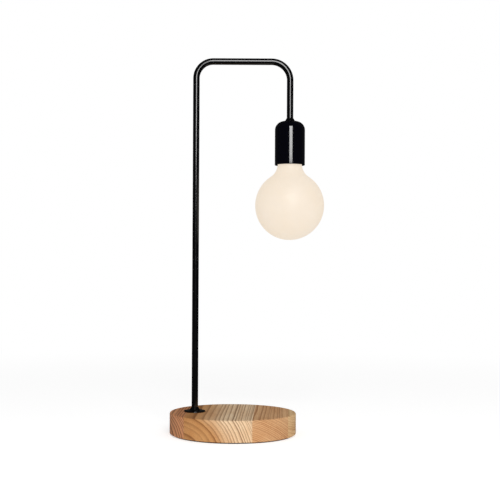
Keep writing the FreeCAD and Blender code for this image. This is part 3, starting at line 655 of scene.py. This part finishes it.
def opal_globe():
    """The globe: one chain of arcs from its far pole to the sleeve in the cap, turned once round."""
    low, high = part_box("bulb_glass")
    radius = (high.x - low.x) / 2
    globe_z = low.z + radius
    reach = NECK_R + NECK_BLEND_R
    rise = math.sqrt((radius + NECK_BLEND_R) ** 2 - reach ** 2)
    blend_z = globe_z + rise
    lean = math.atan2(reach, rise)
    shoulder_z = high.z - SLEEVE_L - SHOULDER_GAP
    bm = bmesh.new()

    def arc(vert, centre_x, centre_z, angle, steps):
        return bmesh.ops.spin(bm, geom=[vert], cent=(centre_x, 0, centre_z), axis=(0, 1, 0),
                              angle=angle, steps=steps)["geom_last"][0]

    pole = bm.verts.new((0, 0, low.z))
    join = arc(pole, 0, globe_z, -(math.pi - lean), 56)
    neck = arc(join, reach, blend_z, math.pi / 2 - lean, 14)
    ledge = [bm.verts.new(spot) for spot in ((NECK_R, 0, shoulder_z), (SLEEVE_R, 0, shoulder_z),
                                             (SLEEVE_R, 0, high.z))]
    for start, end in zip([neck, *ledge], ledge):
        bm.edges.new((start, end))
    for corner, rounding, segments in ((ledge[0], SHOULDER_ROUND, 8), (ledge[1], SLEEVE_ROUND, 6)):
        bmesh.ops.bevel(bm, geom=[corner], offset=rounding, offset_type="OFFSET", affect="VERTICES",
                        segments=segments, profile=0.5, material=-1)
    spin_round(bm, socket_x, 128)
    piece = to_object(bm, "opal_globe", FINISHES["opal_glass"], 60, GLASS_T)
    settle(piece, "bulb", "opal_glass", "bulb_glass")


def fine_wall(radius, low, high):
    """Corners up a plain wall, close enough together for a thread."""
    steps = round((high - low) / THREAD_STEP)
    return [(radius, low + (high - low) * i / steps) for i in range(steps + 1)]


def threaded_cap():
    """The bulb's screw cap: a flared skirt, a rolled thread and a round end."""
    low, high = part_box("bulb_cap")
    skirt = high.x - socket_x
    skirt_top = low.z + CAP_SKIRT_H
    wall_low = skirt_top + CAP_STEP_H
    wall_high = high.z - CAP_ROLL_ROOM
    corners = [(skirt, low.z), (skirt, skirt_top, CAP_SKIRT_EDGE)]
    corners += fine_wall(CAP_R, wall_low, wall_high)
    corners += [(CAP_R, high.z, CAP_ROLL), (CAP_END_R, high.z)]
    bm = bmesh.new()
    outline_points(bm, corners, False)
    spin_round(bm, socket_x, 96)
    press_thread(bm, socket_x, wall_low + CAP_THREAD_START, wall_high)
    piece = to_object(bm, "threaded_cap", FINISHES["cap_metal"], 50, CAP_SHEET)
    settle(piece, "bulb", "cap_metal", "bulb_cap")


def threaded_shell():
    """The lampholder's brass shell, with the same thread as the bulb's cap."""
    low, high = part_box("screw_shell")
    sheet_z = high.z - SHELL_SHEET
    wall_high = sheet_z - SHELL_PLAIN_H
    corners = fine_wall(SHELL_R, low.z, wall_high)
    corners += [(SHELL_R, sheet_z, SHELL_LIP), (SHELL_R - SHELL_LIP, sheet_z)]
    bm = bmesh.new()
    outline_points(bm, corners, False)
    spin_round(bm, socket_x, 96)
    press_thread(bm, socket_x, low.z - SHELL_THREAD_RUNOUT, wall_high)
    piece = to_object(bm, "threaded_shell", FINISHES["brass"], 50, -SHELL_SHEET)
    settle(piece, "lamp", "brass", "screw_shell")


# ---- studio ----

def studio_floor():
    """A pale floor, open from below, that glows a little and fades into the white background."""
    bm = bmesh.new()
    bmesh.ops.create_grid(bm, x_segments=1, y_segments=1, size=FLOOR_HALF)
    bmesh.ops.translate(bm, verts=bm.verts, vec=(0, 0, FLOOR_Z))
    paper = Finish("floor", {"Roughness": 0.9, "Specular IOR Level": 0.0, "Emission Strength": 1.0})
    spot = paper.node("TexCoord", {}, {}, "Object")
    distance = paper.node("VectorMath", {"operation": "LENGTH"}, {0: spot}, "Value")
    far = paper.node("MapRange", {"interpolation_type": "SMOOTHSTEP"},
                     {"Value": distance, "From Min": FLOOR_NEAR, "From Max": FLOOR_FAR})
    paper.feed({"Base Color": paper.mix(far, grey(FLOOR_PAPER), grey(0.0)),
                "Emission Color": paper.mix(far, grey(FLOOR_GLOW), grey(1.0))})
    below = paper.node("NewGeometry", {}, {}, "Backfacing")
    clear = paper.node("BsdfTransparent", {}, {})
    paper.links.new(paper.node("MixShader", {}, {0: below, 1: Value(paper, paper.shader.outputs[0]),
                                                 2: clear}).socket,
                    paper.nodes["Material Output"].inputs["Surface"])
    floor = to_object(bm, "studio_floor", paper.material)
    floor.visible_glossy = False


def softbox(name, place, aim, size, power, glossy):
    """A rectangular soft light that faces a point."""
    light = bpy.data.lights.new(name, "AREA")
    light.shape = "RECTANGLE"
    light.size, light.size_y = size
    light.energy = power
    holder = bpy.data.objects.new(name, light)
    holder.location = place
    holder.rotation_euler = (Vector(aim) - Vector(place)).to_track_quat("-Z", "Y").to_euler()
    holder.visible_glossy = glossy
    holder.visible_camera = False
    bpy.context.scene.collection.objects.link(holder)


def white_surround():
    """A white background that lights the lamp softly but shows only dimly in its gloss."""
    world = bpy.data.worlds.new("surround")
    world.use_nodes = True
    bpy.context.scene.world = world
    tree = Tree(world.node_tree)
    seen = tree.node("LightPath", {}, {}, "Is Camera Ray")
    gloss = tree.node("LightPath", {}, {}, "Is Glossy Ray")
    lit, shown, held_back = 0.4, 0.6, 0.37
    strength = lit + seen * shown - gloss * held_back
    tree.fill(tree.nodes["Background"], {"Color": grey(1.0), "Strength": strength})


def photo_camera():
    """The photograph's viewpoint: level, a little below the lamp's middle, shifted to its frame."""
    data = bpy.data.cameras.new("photo_camera")
    data.sensor_width = 36.0
    data.lens = FOCAL_PIXELS / PICTURE_WIDE * data.sensor_width
    data.shift_x = (PICTURE_WIDE / 2 - CENTRE_COLUMN) / PICTURE_WIDE
    data.shift_y = (HORIZON_ROW - PICTURE_WIDE / 2) / PICTURE_WIDE
    camera = bpy.data.objects.new("photo_camera", data)
    camera.location = CAMERA_PLACE
    camera.rotation_euler = (math.pi / 2, -CAMERA_ROLL, 0)
    bpy.context.scene.collection.objects.link(camera)
    bpy.context.scene.camera = camera


def studio():
    """A tall light in front that shows in the gloss, a wide one above that doesn't, floor and camera."""
    studio_floor()
    softbox("front_box", place=(0.3, -2.6, 1.42), aim=(0.05, 0.0, 0.35), size=(1.1, 1.6), power=57,
            glossy=True)
    softbox("top_box", place=(0.0, -0.3, 2.4), aim=(0.0, 0.0, 0.2), size=(2.2, 2.2), power=7,
            glossy=False)
    white_surround()
    photo_camera()
    bpy.context.scene.view_settings.view_transform = "Standard"


finish_cad_nodes()
bent_tube()
cone_flange()
cone_nut()
spun_cup()
opal_globe()
threaded_cap()
threaded_shell()
studio()
